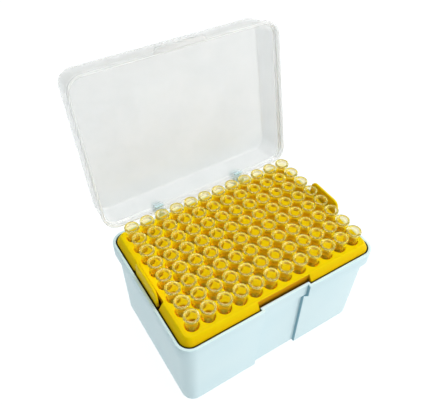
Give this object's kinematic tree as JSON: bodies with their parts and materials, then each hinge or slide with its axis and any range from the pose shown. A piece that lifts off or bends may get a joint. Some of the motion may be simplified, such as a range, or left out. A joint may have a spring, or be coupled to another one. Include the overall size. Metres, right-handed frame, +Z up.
{
  "type": "pipette tip box",
  "caption": "Rectangular hinged-lid box with a drop-in rack that holds a grid of conical pipette tips, shown with its clear lid open.",
  "frame": {"origin": "middle of the base's underside", "axes": "+X along the long side, -Y towards the front, +Z up; the lid's hinge is behind, on +Y"},
  "size_m": [0.1212, 0.1229, 0.1489],
  "materials": {
    "base_plastic": "satin polypropylene, pale blue-white",
    "rack_plastic": "satin polypropylene, strong yellow",
    "lid_plastic": "milky clear polypropylene",
    "tip_plastic": "clear polypropylene"
  },
  "bodies": {
    "box": {"base": "base_plastic", "rack": "rack_plastic", "tips_column_01": "tip_plastic", "tips_column_02": "tip_plastic", "tips_column_03": "tip_plastic", "tips_column_04": "tip_plastic", "tips_column_05": "tip_plastic", "tips_column_06": "tip_plastic", "tips_column_07": "tip_plastic", "tips_column_08": "tip_plastic", "tips_column_09": "tip_plastic", "tips_column_10": "tip_plastic", "tips_column_11": "tip_plastic", "tips_column_12": "tip_plastic"},
    "lid": {"lid": "lid_plastic"}
  },
  "joints": [
    {"name": "lid_hinge", "type": "hinge", "parent": "box", "child": "lid", "pos_m": [0, 0.0439, 0.0615], "axis": [1, 0, 0], "range_deg": [0, 103.5]}
  ]
}
